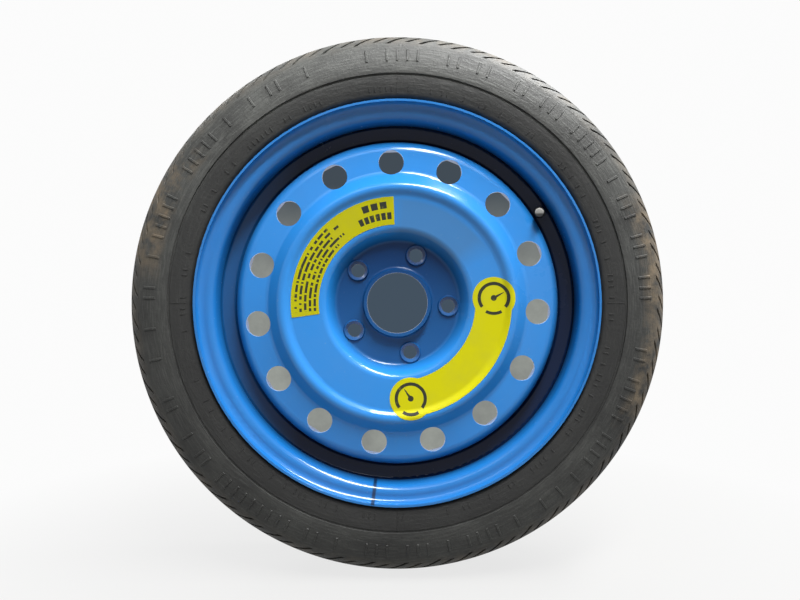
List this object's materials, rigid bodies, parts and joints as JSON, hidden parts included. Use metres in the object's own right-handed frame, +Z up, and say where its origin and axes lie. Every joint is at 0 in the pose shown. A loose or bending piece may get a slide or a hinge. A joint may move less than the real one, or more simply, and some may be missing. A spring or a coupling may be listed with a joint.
{
  "type": "spare wheel",
  "caption": "Temporary spare car wheel: blue pressed-steel wheel with fifteen round vents and five bolt holes, narrow black tyre, two yellow arc stickers and a snap-in valve.",
  "frame": {"origin": "centre of the wheel, on its spin axis and midway across the tyre", "axes": "+Y along the spin axis, pointing inboard (the outboard face looks to -Y); +Z up at the clocking of the picture; +X to the right seen from outboard"},
  "size_m": [0.606, 0.1248, 0.606],
  "materials": {
    "rubber": "matte",
    "blue_paint": "gloss",
    "weld_steel": "satin",
    "yellow_film": "satin",
    "valve_rubber": "matte",
    "brass": "satin",
    "seal": "matte",
    "spring_steel": "satin",
    "cap_plastic": "satin"
  },
  "bodies": {
    "wheel": {"tyre": "rubber", "rim": "blue_paint", "wheel_disc": "blue_paint", "disc_welds": "weld_steel", "upper_sticker": "yellow_film", "lower_sticker": "yellow_film", "valve_body": "valve_rubber", "valve_stem": "brass", "valve_core_barrel": "brass", "valve_core_gasket": "seal", "valve_core_spring": "spring_steel"},
    "core_pin": {"valve_core_pin": "brass", "valve_core_cup": "seal"},
    "cap_seal": {"valve_cap_seal": "seal"},
    "valve_cap": {"valve_cap": "cap_plastic"}
  },
  "joints": [
    {"name": "core_press", "type": "slide", "parent": "wheel", "child": "core_pin", "axis": [0.2183, 0.9659, 0.1391], "range_m": [0, 0.0012], "stiffness_N_per_m": 1500, "deforming": ["valve_core_spring"]},
    {"name": "cap_rise", "type": "slide", "parent": "wheel", "child": "cap_seal", "axis": [-0.2183, -0.9659, -0.1391], "range_m": [0, 0.00476]},
    {"name": "cap_turn", "type": "hinge", "parent": "cap_seal", "child": "valve_cap", "pos_m": [0.15591, -0.04836, 0.09933], "axis": [-0.2183, -0.9659, -0.1391], "range_deg": [0, 2161]}
  ],
  "couplings": [
    {"joint": "cap_turn", "follows": "cap_rise", "rad_per_m": 7915.8}
  ]
}
